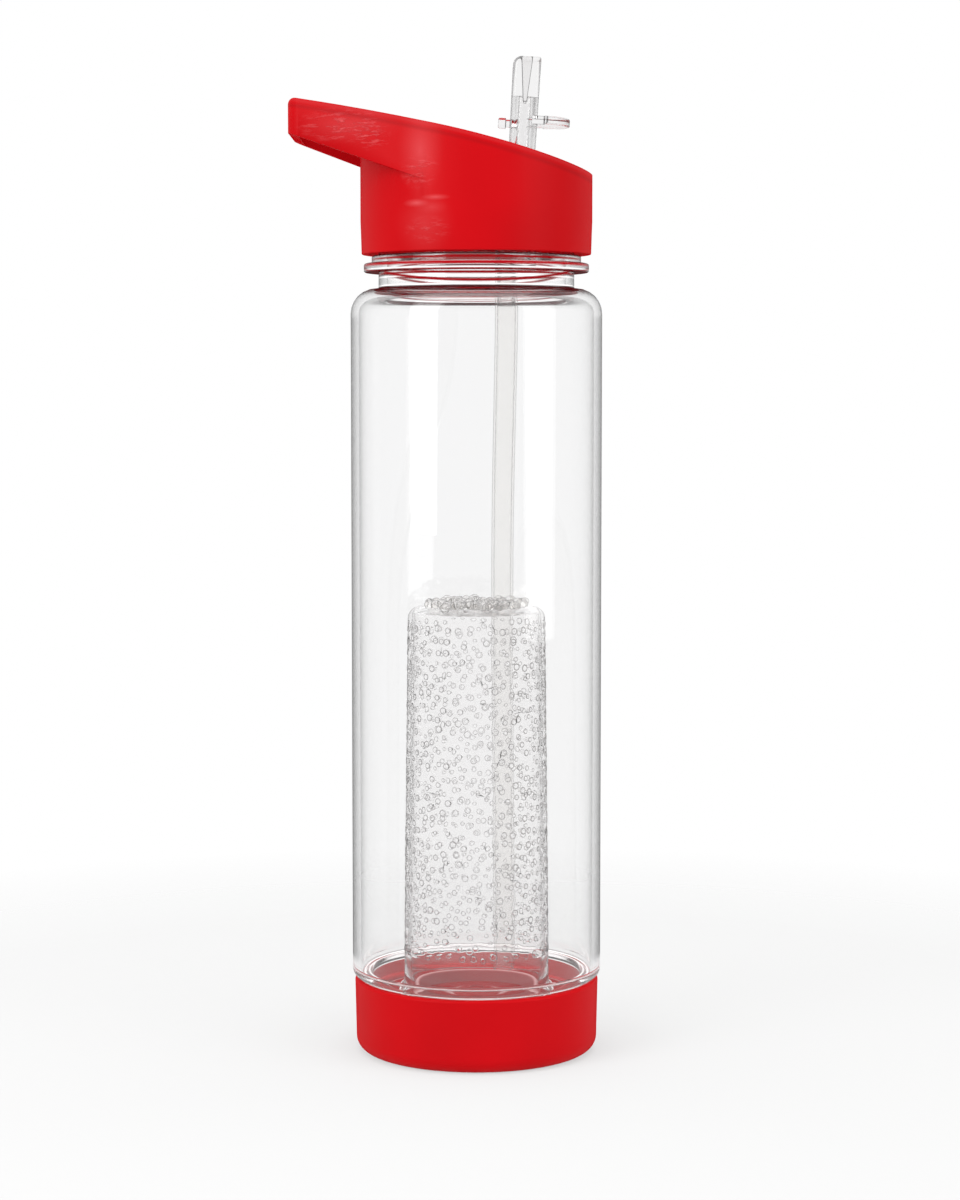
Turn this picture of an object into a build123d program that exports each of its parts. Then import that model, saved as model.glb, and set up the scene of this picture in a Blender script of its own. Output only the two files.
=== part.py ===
from build123d import *
import math
import os

# Fruit infuser water bottle, in millimetres with +Z up.
# The origin is the middle of the ring that the bottle rests on. The carrying loop points to -X,
# the drinking spout stands on the +X side of the lid, and the straw runs down behind the infuser, at +Y.

# Clear body
body_diameter = 70.0
body_wall = 2.2
body_height = 193.4
shoulder_width = 7.8
shoulder_radius = 7.0
body_foot_radius = 2.6
foot_slope_height = 3.4
inner_shoulder_radius = 4.8
throat_radius = 1.4

# Neck of the clear body
neck_height = 21.8
neck_wall = 2.2
rim_radius = 0.6
flange_gap = 4.4
flange_thickness = 2.5
flange_overhang = 4.1
collar_height = 2.1
collar_overhang = 1.9
ring_edge_radius = 0.5

# Screw threads of the lid and of the base
thread_pitch = 4.0
thread_turns = 1.5
thread_root_width = 1.5
thread_crest_width = 0.8
thread_embed = 0.4
neck_thread_depth = 1.2
base_thread_depth = 0.9
thread_clearance = 0.3
root_clearance = 0.4
neck_thread_drop = 10.0
base_thread_rise = 2.6

# Base cup
base_height = 20.5
base_step = 0.65
base_wall = 1.95
base_taper = 0.45
base_corner_radius = 4.0
base_rim_radius = 0.7
base_gap = 0.3
skirt_wall = 1.8
skirt_length = 14.8
platform_clearance = 0.5
platform_wall = 2.0
seat_height = 16.0
dish_depth = 1.5
spigot_wall = 1.5
spigot_rise = 2.5
spigot_clearance = 0.25
dome_diameter = 16.6
dome_rise = 2.3
dimple_diameter = 4.0
dimple_depth = 0.5

# Sealing rings
gasket_gap = 0.1
base_gasket_thickness = 1.2
lid_gasket_thickness = 1.0
lid_gasket_overlap = 0.4
lid_gasket_side_gap = 0.3

# Straw
straw_diameter = 6.4
straw_wall = 0.7
straw_clearance = 0.575
straw_lean = 1.0
straw_tip_gap = 1.0
straw_upper_run = 15.0
straw_bend_height = 14.4

# Infuser basket
infuser_height = 109.5
infuser_wall = 1.6
infuser_taper = 1.25
infuser_corner_radius = 2.4
infuser_seat_gap = 0.1
infuser_flange_thickness = 2.3
infuser_flange_overhang = 1.35
infuser_foot_wall = 2.35
infuser_foot_height = 4.0
mound_inset = 4.0
mound_height = 2.5
mound_edge_radius = 1.2
hole_diameter = 2.2
hole_rows = 11
holes_per_row = 14
hole_band_bottom = 13.5
hole_band_top = 5.5
top_ring_shares = (0.42, 0.78)
top_ring_counts = (6, 12)

# Lid shell
cap_wall = 2.2
cap_skin = 2.4
cap_gap = 0.4
cap_foot_taper = 0.3
cap_foot_height = 9.0
crown_front_height = 6.4
crown_middle_height = 18.0
crown_middle_x = 10.0
crown_loop_height = 26.5

# Carrying loop of the lid shell
loop_overhang = 19.1
loop_end_width = 34.0
loop_end_height = 9.6
loop_root_x = 13.6
loop_root_drop = 14.6
loop_wall = 3.0
loop_corner_radius = 4.5
loop_inner_corner_radius = 2.0

# Lid liner
liner_wall = 1.2
liner_fit_gap = 0.1
liner_disc_thickness = 1.8
liner_foot_gap = 0.8
vent_hole_diameter = 2.6

# Spout
pivot_share = 0.382
pivot_height = 7.5
spout_length = 31.2
spout_thickness = 7.7
spout_draft = 0.5
spout_width = 13.0
spout_lean = 3.3
spout_edge_radius = 1.6
spout_tip_radius = 2.4
spout_tip_chamfer = 0.8
barrel_diameter = 8.8
trunnion_diameter = 4.0
trunnion_clearance = 0.06
trunnion_end_gap = 0.3
bore_diameter = 4.6
bore_overlap = 1.5
slot_top_width = 3.4
slot_bottom_width = 1.0
slot_depth = 12.2
slot_side_wall = 2.6
nub_height = 13.0
nub_diameter = 3.0
nub_neck_diameter = 2.2
nub_neck_length = 1.1
nub_length = 3.2
tab_height = 13.9
tab_diameter = 17.0
tab_thickness = 2.3
tab_centre_x = 4.3
tab_shank_length = 1.8

# Channel that the spout folds into
fold_slope = 14.0
channel_side_gap = 0.5
channel_floor_gap = 0.6
channel_end_gap = 1.4
barrel_gap = 0.5
channel_floor_thickness = 1.8
ear_thickness = 2.6

# Silicone seat of the spout and silicone grommet of the air vent
seal_diameter = 7.0
seal_gap = 0.25
seal_pocket_depth = 1.2
grommet_diameter = 6.0
grommet_lip = 0.6
grommet_lip_thickness = 0.8
nub_clearance = 0.25

# Straw nozzle
nozzle_offset = 3.9
nozzle_diameter = 8.6
nozzle_straw_inset = 1.1
nozzle_bottom_drop = 18.2
nozzle_bore_diameter = 4.4
nozzle_neck_diameter = 5.8
nozzle_neck_gap = 0.1
spigot_length = 9.0
spigot_fit = 0.05
nozzle_floor = 2.2

# One overrun for every cut
overrun = 5.0

# Radii of the clear body and its skirt, which give the base its own
body_r = body_diameter / 2
body_inner_r = body_r - body_wall
base_r = body_r - base_step
base_inner_r = base_r - base_wall
skirt_r = base_inner_r - thread_clearance - base_thread_depth
skirt_inner_r = skirt_r - skirt_wall
platform_r = skirt_inner_r - platform_clearance

# Heights of the base and of the clear body
body_bottom_z = base_height + base_gap
skirt_bottom_z = body_bottom_z - skirt_length
well_floor_z = skirt_bottom_z - base_gasket_thickness - 2 * gasket_gap
dish_floor_z = seat_height - dish_depth
shoulder_z = body_bottom_z + body_height
flange_z = shoulder_z + flange_gap
flange_top_z = flange_z + flange_thickness
collar_top_z = flange_top_z + collar_height
rim_z = shoulder_z + neck_height

# Radii of the neck, which give the lid its own
neck_r = body_r - shoulder_width
neck_inner_r = neck_r - neck_wall
liner_inner_r = neck_r + neck_thread_depth + thread_clearance
liner_r = liner_inner_r + liner_wall
cap_inner_r = liner_r + liner_fit_gap
cap_r = cap_inner_r + cap_wall
loop_reach = cap_r + loop_overhang
pivot_x = cap_r * pivot_share

# Heights of the lid
cap_bottom_z = collar_top_z + cap_gap
liner_disc_z = rim_z + lid_gasket_thickness + 2 * gasket_gap
liner_top_z = liner_disc_z + liner_disc_thickness
pivot_z = liner_top_z + pivot_height
crown_loop_z = liner_top_z + crown_loop_height
nozzle_bottom_z = liner_disc_z - nozzle_bottom_drop
straw_x = pivot_x - nozzle_offset

# Infuser
infuser_flange_r = skirt_inner_r - straw_diameter - 2 * straw_clearance
infuser_foot_r = infuser_flange_r - infuser_flange_overhang
infuser_top_r = infuser_foot_r - infuser_taper
infuser_foot_inner_r = infuser_foot_r - infuser_foot_wall
infuser_bottom_z = seat_height + infuser_seat_gap
infuser_top_z = infuser_bottom_z + infuser_height
spigot_r = infuser_foot_inner_r - spigot_clearance

# The spout's thickness at its foot, and the channel's width and floor
barrel_r = barrel_diameter / 2
channel_width = spout_width + 2 * channel_side_gap
trough_width = channel_width + 2 * ear_thickness
floor_drop = spout_thickness / 2 + channel_floor_gap
channel_r = barrel_r + barrel_gap
trough_r = channel_r + channel_floor_thickness
channel_length = spout_length + channel_end_gap


def lathe(*corners):
    # Each corner is (radius, height) or (radius, height, rounding).
    points = [(corner[0], corner[1]) for corner in corners]
    roundings = [corner[2] if len(corner) > 2 else 0 for corner in corners]
    outline = FilletPolyline(*points, radius=roundings, close=True)
    return revolve(Plane.XZ * make_face(outline), axis=Axis.Z)


def ring(outer_r, inner_r, bottom_z, thickness):
    return lathe(
        (inner_r, bottom_z),
        (outer_r, bottom_z),
        (outer_r, bottom_z + thickness),
        (inner_r, bottom_z + thickness),
    )


def rod(radius, bottom_z, top_z, x=0, y=0):
    return Pos(x, y, (bottom_z + top_z) / 2) * Cylinder(radius, top_z - bottom_z)


def thread_ridge(radius, depth, bottom_z, outward):
    # A right-hand ridge that stands out of a round wall, with its foot sunk into the wall.
    way = 1 if outward else -1
    path = Helix(thread_pitch, thread_pitch * thread_turns, radius)
    section = Polyline(
        (-way * thread_embed, thread_root_width / 2),
        (way * depth, thread_crest_width / 2),
        (way * depth, -thread_crest_width / 2),
        (-way * thread_embed, -thread_root_width / 2),
        close=True,
    )
    start = Plane(origin=path @ 0, x_dir=(1, 0, 0), z_dir=path % 0)
    ridge = sweep(start * make_face(section), path=path, is_frenet=True)
    return Pos(0, 0, bottom_z) * ridge


def side_region(drop, bottom_z):
    # The lid seen from the front: everything under its crowned top, lowered by drop, down to bottom_z.
    crown = ThreePointArc(
        (-loop_reach, crown_loop_z),
        (-crown_middle_x, liner_top_z + crown_middle_height),
        (cap_r, liner_top_z + crown_front_height),
    )
    middle = crown.arc_center
    disc = Pos(middle.X, middle.Y - drop) * Circle(crown.radius)
    top_z = crown_loop_z + overrun
    strip = Pos(0, (bottom_z + top_z) / 2) * Rectangle(2 * (loop_reach + overrun), top_z - bottom_z)
    return extrude(Plane.XZ * (disc & strip), amount=cap_r + overrun, both=True)


def make_bottle_body():
    body = lathe(
        (skirt_inner_r, skirt_bottom_z),
        (skirt_r, skirt_bottom_z),
        (skirt_r, body_bottom_z),
        (body_r, body_bottom_z, body_foot_radius),
        (body_r, shoulder_z, shoulder_radius),
        (neck_r, shoulder_z),
        (neck_r, flange_z),
        (neck_r + flange_overhang, flange_z, ring_edge_radius),
        (neck_r + flange_overhang, flange_top_z, ring_edge_radius),
        (neck_r + collar_overhang, flange_top_z),
        (neck_r + collar_overhang, collar_top_z, ring_edge_radius),
        (neck_r, collar_top_z),
        (neck_r, rim_z, rim_radius),
        (neck_inner_r, rim_z, rim_radius),
        (neck_inner_r, shoulder_z - body_wall, throat_radius),
        (body_inner_r, shoulder_z - body_wall, inner_shoulder_radius),
        (body_inner_r, body_bottom_z + body_wall + foot_slope_height),
        (skirt_inner_r, body_bottom_z + body_wall),
    )
    neck_thread = thread_ridge(neck_r, neck_thread_depth, rim_z - neck_thread_drop, True)
    foot_thread = thread_ridge(skirt_r, base_thread_depth, skirt_bottom_z + base_thread_rise, True)
    return body + neck_thread + foot_thread


def make_base_cup():
    under_r = platform_r - platform_wall
    ring_outer_r = base_r - base_taper - base_corner_radius
    cup = lathe(
        (0, dish_floor_z - platform_wall),
        (under_r, dish_floor_z - platform_wall, platform_wall / 2),
        (under_r, 0, base_rim_radius),
        (ring_outer_r + base_corner_radius, 0, base_corner_radius),
        (base_r, base_height, base_rim_radius),
        (base_inner_r, base_height),
        (base_inner_r, well_floor_z),
        (platform_r, well_floor_z),
        (platform_r, seat_height, base_rim_radius),
        (spigot_r, seat_height),
        (spigot_r, seat_height + spigot_rise, spigot_wall / 3),
        (spigot_r - spigot_wall, seat_height + spigot_rise, spigot_wall / 3),
        (spigot_r - spigot_wall, dish_floor_z),
        (0, dish_floor_z),
    )
    # A shallow dome in the middle of the dish, with a dimple at its top.
    dome_r = dome_diameter / 2
    dome_sphere_r = (dome_r**2 + dome_rise**2) / (2 * dome_rise)
    dome = Pos(0, 0, dish_floor_z + dome_rise - dome_sphere_r) * Sphere(dome_sphere_r)
    dome = dome & rod(dome_r + overrun, dish_floor_z - platform_wall / 2, dish_floor_z + dome_rise)
    dimple_z = dish_floor_z + dome_rise - dimple_depth
    dimple = rod(dimple_diameter / 2, dimple_z, dimple_z + overrun)
    cup = cup + dome - dimple
    thread_z = skirt_bottom_z + base_thread_rise + thread_pitch / 2
    thread_depth = base_thread_depth + thread_clearance - root_clearance / 2
    return cup + thread_ridge(base_inner_r, thread_depth, thread_z, False)


def make_base_gasket():
    bottom_z = well_floor_z + gasket_gap
    return ring(skirt_r, skirt_inner_r, bottom_z, base_gasket_thickness)


def make_infuser_basket():
    flange_top = infuser_bottom_z + infuser_flange_thickness
    mound_r = infuser_top_r - mound_inset
    foot_z = infuser_bottom_z + infuser_foot_height
    basket = lathe(
        (infuser_foot_inner_r, infuser_bottom_z),
        (infuser_flange_r, infuser_bottom_z, ring_edge_radius),
        (infuser_flange_r, flange_top, ring_edge_radius),
        (infuser_foot_r, flange_top, ring_edge_radius),
        (infuser_top_r, infuser_top_z, infuser_corner_radius),
        (mound_r, infuser_top_z),
        (mound_r, infuser_top_z + mound_height, mound_edge_radius),
        (0, infuser_top_z + mound_height),
        (0, infuser_top_z - infuser_wall),
        (infuser_top_r - infuser_wall, infuser_top_z - infuser_wall, infuser_corner_radius / 2),
        (infuser_foot_r - infuser_wall, foot_z + infuser_wall),
        (infuser_foot_inner_r, foot_z),
    )
    # Round holes in staggered rows, each cut from outside to well inside the wall.
    pins = []
    band_low = infuser_bottom_z + hole_band_bottom
    band_high = infuser_top_z - hole_band_top
    for row in range(hole_rows):
        height = band_low + (band_high - band_low) * row / (hole_rows - 1)
        for column in range(holes_per_row):
            turn = 360 / holes_per_row * (column + (row % 2) / 2)
            pin = Pos(infuser_flange_r, 0) * Rot(0, 90, 0) * Cylinder(hole_diameter / 2, infuser_flange_r)
            pins.append(Pos(0, 0, height) * Rot(0, 0, turn) * pin)
    low = infuser_top_z - infuser_wall - overrun
    high = infuser_top_z + mound_height + overrun
    pins.append(rod(hole_diameter / 2, low, high))
    for share, count in zip(top_ring_shares, top_ring_counts):
        for index in range(count):
            pin = rod(hole_diameter / 2, low, high, x=mound_r * share)
            pins.append(Rot(0, 0, 360 / count * index) * pin)
    return basket - pins


def loop_plan(inset, rounding):
    # Plan of the carrying loop: a tapering tongue that leaves the round cap nearly along its wall.
    root_y = math.sqrt(cap_r**2 - loop_root_x**2)
    end_y = loop_end_width / 2
    slope = (root_y - end_y) / (loop_reach - loop_root_x)
    side_inset = inset * math.sqrt(1 + slope**2)
    end_x = -loop_reach + inset
    end_half = end_y + slope * inset - side_inset
    root_half = root_y - side_inset
    return FilletPolyline(
        (-loop_root_x, -root_half),
        (end_x, -end_half),
        (end_x, end_half),
        (-loop_root_x, root_half),
        radius=[0, rounding, rounding, 0],
        close=True,
    )


def make_loop():
    # The loop's underside is a slanted line in the front view.
    end_low = crown_loop_z - loop_end_height
    root_low = liner_top_z + crown_middle_height - loop_root_drop
    slant = (end_low - root_low) / (loop_reach - loop_root_x)
    tongue = Pos(0, 0, cap_bottom_z) * extrude(
        make_face(loop_plan(0, loop_corner_radius)), amount=crown_loop_z - cap_bottom_z + overrun
    )
    under = Polyline(
        (0, root_low - slant * loop_root_x),
        (-loop_reach - overrun, end_low + slant * overrun),
        (-loop_reach - overrun, cap_bottom_z - overrun),
        (0, cap_bottom_z - overrun),
        close=True,
    )
    below = extrude(Plane.XZ * make_face(under), amount=cap_r + overrun, both=True)
    return tongue - below


def finger_hole():
    depth = crown_loop_z - cap_bottom_z + 2 * overrun
    hole = Pos(0, 0, cap_bottom_z - overrun) * extrude(
        make_face(loop_plan(loop_wall, loop_inner_corner_radius)), amount=depth
    )
    return hole - rod(cap_r, cap_bottom_z - 2 * overrun, crown_loop_z + 2 * overrun)


def folded_place(along, below):
    # A point beside the folded spout's axis, measured from the pivot.
    slope = math.radians(fold_slope)
    x = pivot_x - along * math.cos(slope) - below * math.sin(slope)
    z = pivot_z + along * math.sin(slope) - below * math.cos(slope)
    return (x, z)


def channel_space(end_r, drop, length, width):
    # The room that the spout folds into: a round end about the pivot and a slanted strip, both open upward.
    round_end = Pos(pivot_x, 0, pivot_z) * Rot(90, 0, 0) * Cylinder(end_r, width)
    chimney_height = spout_length
    chimney = Pos(pivot_x, 0, pivot_z + chimney_height / 2) * Box(2 * end_r, width, chimney_height)
    strip = Polyline(
        folded_place(0, drop),
        folded_place(length, drop),
        folded_place(length, -spout_length),
        folded_place(0, -spout_length),
        close=True,
    )
    slanted = extrude(Plane.XZ * make_face(strip), amount=width / 2, both=True)
    return round_end + chimney + slanted


def vent_rod(radius, top_drop, length):
    # A rod square to the folded spout, on the line that its nub follows into the vent.
    slope = math.radians(fold_slope)
    x, z = folded_place(nub_height, top_drop)
    down = (-math.sin(slope), 0, -math.cos(slope))
    return extrude(Plane(origin=(x, 0, z), z_dir=down) * Circle(radius), amount=length)


def make_lid_shell():
    cap = lathe(
        (0, cap_bottom_z),
        (cap_r - cap_foot_taper, cap_bottom_z, cap_foot_taper),
        (cap_r, cap_bottom_z + cap_foot_height),
        (cap_r, crown_loop_z + overrun),
        (0, crown_loop_z + overrun),
    )
    outer = (cap + make_loop()) & side_region(0, cap_bottom_z - overrun)
    outer = outer - finger_hole()
    inside = rod(cap_inner_r, cap_bottom_z - overrun, crown_loop_z)
    inside = inside & side_region(cap_skin, cap_bottom_z - 2 * overrun)
    shell = outer - inside
    trough = channel_space(
        trough_r,
        floor_drop + channel_floor_thickness,
        channel_length + channel_floor_thickness,
        trough_width,
    )
    # The trough's walls reach up into the crown and are trimmed to the inside of the cap.
    wall_reach = rod(cap_inner_r + cap_wall / 2, cap_bottom_z, crown_loop_z + overrun)
    trough = trough & wall_reach & side_region(cap_skin / 2, cap_bottom_z)
    shell = shell + trough
    shell = shell - channel_space(channel_r, floor_drop, channel_length, channel_width)
    pin_r = trunnion_diameter / 2 + trunnion_clearance
    pin_hole = Pos(pivot_x, 0, pivot_z) * Rot(90, 0, 0) * Cylinder(pin_r, trough_width + overrun)
    port_top_z = pivot_z - channel_r - channel_floor_thickness + seal_pocket_depth
    pocket_z = pivot_z - channel_r - seal_pocket_depth
    pocket = rod(seal_diameter / 2 + nozzle_neck_gap, pocket_z, pivot_z, x=pivot_x)
    port_r = nozzle_neck_diameter / 2 + nozzle_neck_gap
    port = rod(port_r, pivot_z - trough_r - overrun, port_top_z + overrun, x=pivot_x)
    vent = vent_rod(grommet_diameter / 2, 0, floor_drop + channel_floor_thickness + overrun)
    return shell - pin_hole - pocket - port - vent


def make_lid_liner():
    liner = lathe(
        (0, liner_disc_z),
        (liner_inner_r, liner_disc_z),
        (liner_inner_r, cap_bottom_z + liner_foot_gap),
        (liner_r, cap_bottom_z + liner_foot_gap, liner_wall / 3),
        (liner_r, liner_top_z, liner_wall / 2),
        (0, liner_top_z),
    )
    ridge_depth = neck_thread_depth + thread_clearance - root_clearance
    ridge_z = rim_z - neck_thread_drop + thread_pitch / 2
    liner = liner + thread_ridge(liner_inner_r, ridge_depth, ridge_z, False)
    port_r = nozzle_neck_diameter / 2 + nozzle_neck_gap
    port = rod(port_r, liner_disc_z - overrun, liner_top_z + overrun, x=pivot_x)
    vent_x = folded_place(nub_height, floor_drop)[0]
    vent = rod(vent_hole_diameter / 2, liner_disc_z - overrun, liner_top_z + overrun, x=vent_x)
    return liner - port - vent


def make_lid_gasket():
    outer_r = liner_inner_r - lid_gasket_side_gap
    inner_r = neck_inner_r - lid_gasket_overlap
    return ring(outer_r, inner_r, rim_z + gasket_gap, lid_gasket_thickness)


def make_spout_seal():
    # A silicone plug with a saddle for the barrel, in a pocket of the channel's floor.
    pocket_z = pivot_z - channel_r - seal_pocket_depth
    seal = rod(seal_diameter / 2, pocket_z, pivot_z, x=pivot_x)
    saddle = Pos(pivot_x, 0, pivot_z) * Rot(90, 0, 0) * Cylinder(barrel_r + seal_gap, channel_width)
    bore = rod(nozzle_bore_diameter / 2, pocket_z - overrun, pivot_z, x=pivot_x)
    room = Pos(pivot_x, 0, pivot_z - barrel_r) * Box(channel_width, channel_width, barrel_r)
    return (seal & room) - saddle - bore


def make_vent_grommet():
    through = vent_rod(grommet_diameter / 2, floor_drop, channel_floor_thickness)
    lip_r = grommet_diameter / 2 + grommet_lip
    lip = vent_rod(lip_r, floor_drop + channel_floor_thickness, grommet_lip_thickness)
    bore = vent_rod(nub_diameter / 2 + nub_clearance, 0, floor_drop + 2 * overrun)
    return through + lip - bore


def make_straw_nozzle():
    # An upright block under the liner that leads from the straw over to the port below the spout.
    nozzle_r = nozzle_diameter / 2
    near_x = straw_x + nozzle_straw_inset
    plan = Pos((near_x + pivot_x) / 2, 0) * SlotCenterToCenter(pivot_x - near_x, nozzle_diameter)
    block = Pos(0, 0, nozzle_bottom_z) * extrude(plan, amount=liner_disc_z - nozzle_bottom_z)
    block = fillet(block.faces().sort_by(Axis.Z)[0].edges(), straw_wall)
    neck_top_z = pivot_z - channel_r - seal_pocket_depth
    neck = rod(nozzle_neck_diameter / 2, liner_disc_z - nozzle_r / 2, neck_top_z, x=pivot_x)
    spigot_outer_r = straw_diameter / 2 - straw_wall - spigot_fit
    spigot = rod(
        spigot_outer_r, nozzle_bottom_z - spigot_length, nozzle_bottom_z + straw_wall, x=straw_x
    )
    bore_r = nozzle_bore_diameter / 2
    duct_r = spigot_outer_r - straw_wall
    lower_duct = rod(
        duct_r, nozzle_bottom_z - spigot_length - overrun, liner_disc_z - nozzle_floor - bore_r, x=straw_x
    )
    upper_duct = rod(bore_r, nozzle_bottom_z + nozzle_floor, neck_top_z + overrun, x=pivot_x)
    link_z = nozzle_bottom_z + nozzle_floor + bore_r
    link_length = nozzle_offset
    link = Pos((straw_x + pivot_x) / 2, 0, link_z) * Box(link_length, 2 * duct_r, 2 * duct_r)
    return block + neck + spigot - lower_duct - upper_duct - link


def make_straw():
    far_r = (infuser_flange_r + skirt_inner_r) / 2
    far_y = math.sqrt(far_r**2 - straw_x**2)
    top_z = nozzle_bottom_z - gasket_gap
    bend_z = top_z - straw_upper_run
    low_bend_z = infuser_top_z + straw_bend_height
    tip_z = seat_height + straw_tip_gap
    points = [
        Vector(straw_x, 0, top_z),
        Vector(straw_x, 0, bend_z),
        Vector(straw_x - straw_lean, far_y, low_bend_z),
        Vector(straw_x, far_y, tip_z),
    ]
    radii = []
    for before, corner, after in zip(points, points[1:], points[2:]):
        first = corner - before
        second = after - corner
        half_turn = math.radians(first.get_angle(second)) / 2
        shorter = min(first.length, second.length)
        radii.append(9 / 20 * shorter / math.tan(half_turn))
    path = FilletPolyline(*points, radius=radii)
    print("straw arcs", [round(radius, 1) for radius in radii])
    start = Plane(origin=path @ 0, z_dir=path % 0)
    outer_r = straw_diameter / 2
    section = start * (Circle(outer_r) - Circle(outer_r - straw_wall))
    return sweep(section, path=path)


def make_spout():
    # Built upright about the pivot, then leaned over and moved into the lid.
    half_top = spout_thickness / 2
    half_foot = half_top - spout_draft / 2
    side = FilletPolyline(
        (-half_foot, 0),
        (half_foot, 0),
        (half_top, spout_length),
        (-half_top, spout_length),
        radius=[0, 0, spout_tip_chamfer, spout_tip_radius],
        close=True,
    )
    blade = extrude(Plane.XZ * make_face(side), amount=spout_width / 2, both=True)
    long_edges = [e for e in blade.edges() if e.length > spout_length / 2]
    blade = fillet(long_edges, spout_edge_radius)
    barrel = Rot(90, 0, 0) * Cylinder(barrel_r, spout_width)
    pin_length = channel_width + 2 * (ear_thickness - trunnion_end_gap)
    trunnion = Rot(90, 0, 0) * Cylinder(trunnion_diameter / 2, pin_length)
    tab = rod(tab_diameter / 2, tab_height - tab_thickness / 2, tab_height + tab_thickness / 2, x=tab_centre_x)
    tab = fillet(tab.edges(), tab_thickness / 5)
    # The tab is no wider than the blade where it lies in the channel, and full width above the crown.
    wide_x = half_top + tab_shank_length
    wide_room = Pos(wide_x + tab_diameter / 2, 0, tab_height) * Box(
        tab_diameter, 2 * tab_diameter, 2 * tab_thickness
    )
    shank = Pos(wide_x / 2, 0, tab_height) * Box(wide_x, spout_width, tab_thickness)
    tab = (tab & wide_room) + shank
    nub_start = -half_top + spout_draft
    nub_tip = -half_top - nub_length
    neck_end = -half_top - nub_neck_length
    nub_neck = sideways_rod(nub_neck_diameter / 2, neck_end, nub_start)
    nub_head = sideways_rod(nub_diameter / 2, nub_tip, neck_end)
    nub_head = fillet(nub_head.edges().sort_by(Axis.X)[0], nub_diameter / 5)
    spout = blade + barrel + trunnion + tab + nub_neck + nub_head
    bore_top = spout_length - slot_depth + bore_overlap
    bore = rod(bore_diameter / 2, -barrel_r - overrun, bore_top)
    slot = Polyline(
        (-slot_bottom_width / 2, spout_length - slot_depth),
        (slot_bottom_width / 2, spout_length - slot_depth),
        (slot_top_width / 2, spout_length + channel_end_gap),
        (-slot_top_width / 2, spout_length + channel_end_gap),
        close=True,
    )
    slot_half_width = spout_width / 2 - slot_side_wall
    mouth = extrude(Plane.XZ * make_face(slot), amount=slot_half_width, both=True)
    spout = spout - bore - mouth
    return Pos(pivot_x, 0, pivot_z) * Rot(0, spout_lean, 0) * spout


def sideways_rod(radius, low_x, high_x):
    rod_along_x = Rot(0, 90, 0) * Cylinder(radius, high_x - low_x)
    return Pos((low_x + high_x) / 2, 0, nub_height) * rod_along_x


pieces = {
    "bottle_body": make_bottle_body(),
    "base_cup": make_base_cup(),
    "base_gasket": make_base_gasket(),
    "infuser_basket": make_infuser_basket(),
    "lid_shell": make_lid_shell(),
    "lid_liner": make_lid_liner(),
    "lid_gasket": make_lid_gasket(),
    "spout": make_spout(),
    "spout_seal": make_spout_seal(),
    "vent_grommet": make_vent_grommet(),
    "straw_nozzle": make_straw_nozzle(),
    "straw": make_straw(),
}

os.makedirs("parts", exist_ok=True)
for name, piece in pieces.items():
    export_step(piece, "parts/" + name + ".step")
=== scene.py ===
import math
import random
import bmesh
import bpy
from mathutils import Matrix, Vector


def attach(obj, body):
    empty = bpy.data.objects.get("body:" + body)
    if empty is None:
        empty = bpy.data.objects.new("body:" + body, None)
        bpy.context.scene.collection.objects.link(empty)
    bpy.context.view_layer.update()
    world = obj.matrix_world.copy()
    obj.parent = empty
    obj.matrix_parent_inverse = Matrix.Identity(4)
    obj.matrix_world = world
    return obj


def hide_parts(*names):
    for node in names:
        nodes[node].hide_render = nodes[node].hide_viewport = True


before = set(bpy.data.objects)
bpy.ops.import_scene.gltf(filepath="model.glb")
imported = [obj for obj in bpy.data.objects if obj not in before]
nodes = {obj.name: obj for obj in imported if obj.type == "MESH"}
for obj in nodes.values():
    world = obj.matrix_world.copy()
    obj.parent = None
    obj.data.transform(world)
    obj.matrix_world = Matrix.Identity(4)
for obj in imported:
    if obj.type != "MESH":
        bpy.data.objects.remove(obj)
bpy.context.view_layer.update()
scene = bpy.context.scene
mm = 0.001
print("frame loaded")


# camera, worked out from the ellipses of the base, flange and lid in the 960 by 1200 photograph
photo = {"height": 1200, "focalPixels": 2800, "tiltDown": 4.5, "eye": (0.001, -0.784, 0.189)}


def addCamera():
    data = bpy.data.cameras.new("photoCamera")
    data.sensor_width = 36
    data.lens = photo["focalPixels"] / photo["height"] * data.sensor_width
    data.clip_start = 0.01
    camera = bpy.data.objects.new("photoCamera", data)
    camera.location = photo["eye"]
    camera.rotation_euler = (math.radians(90 - photo["tiltDown"]), 0, 0)
    scene.collection.objects.link(camera)
    scene.camera = camera


addCamera()
scene.view_settings.view_transform = "Standard"
bounces = 28  # enough for light to pass every clear wall of the bottle, basket and straw
scene.cycles.max_bounces = bounces
scene.cycles.glossy_bounces = bounces
scene.cycles.transmission_bounces = bounces
scene.cycles.transparent_max_bounces = bounces
scene.cycles.caustics_reflective = False
scene.cycles.caustics_refractive = False
print("camera set")


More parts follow.
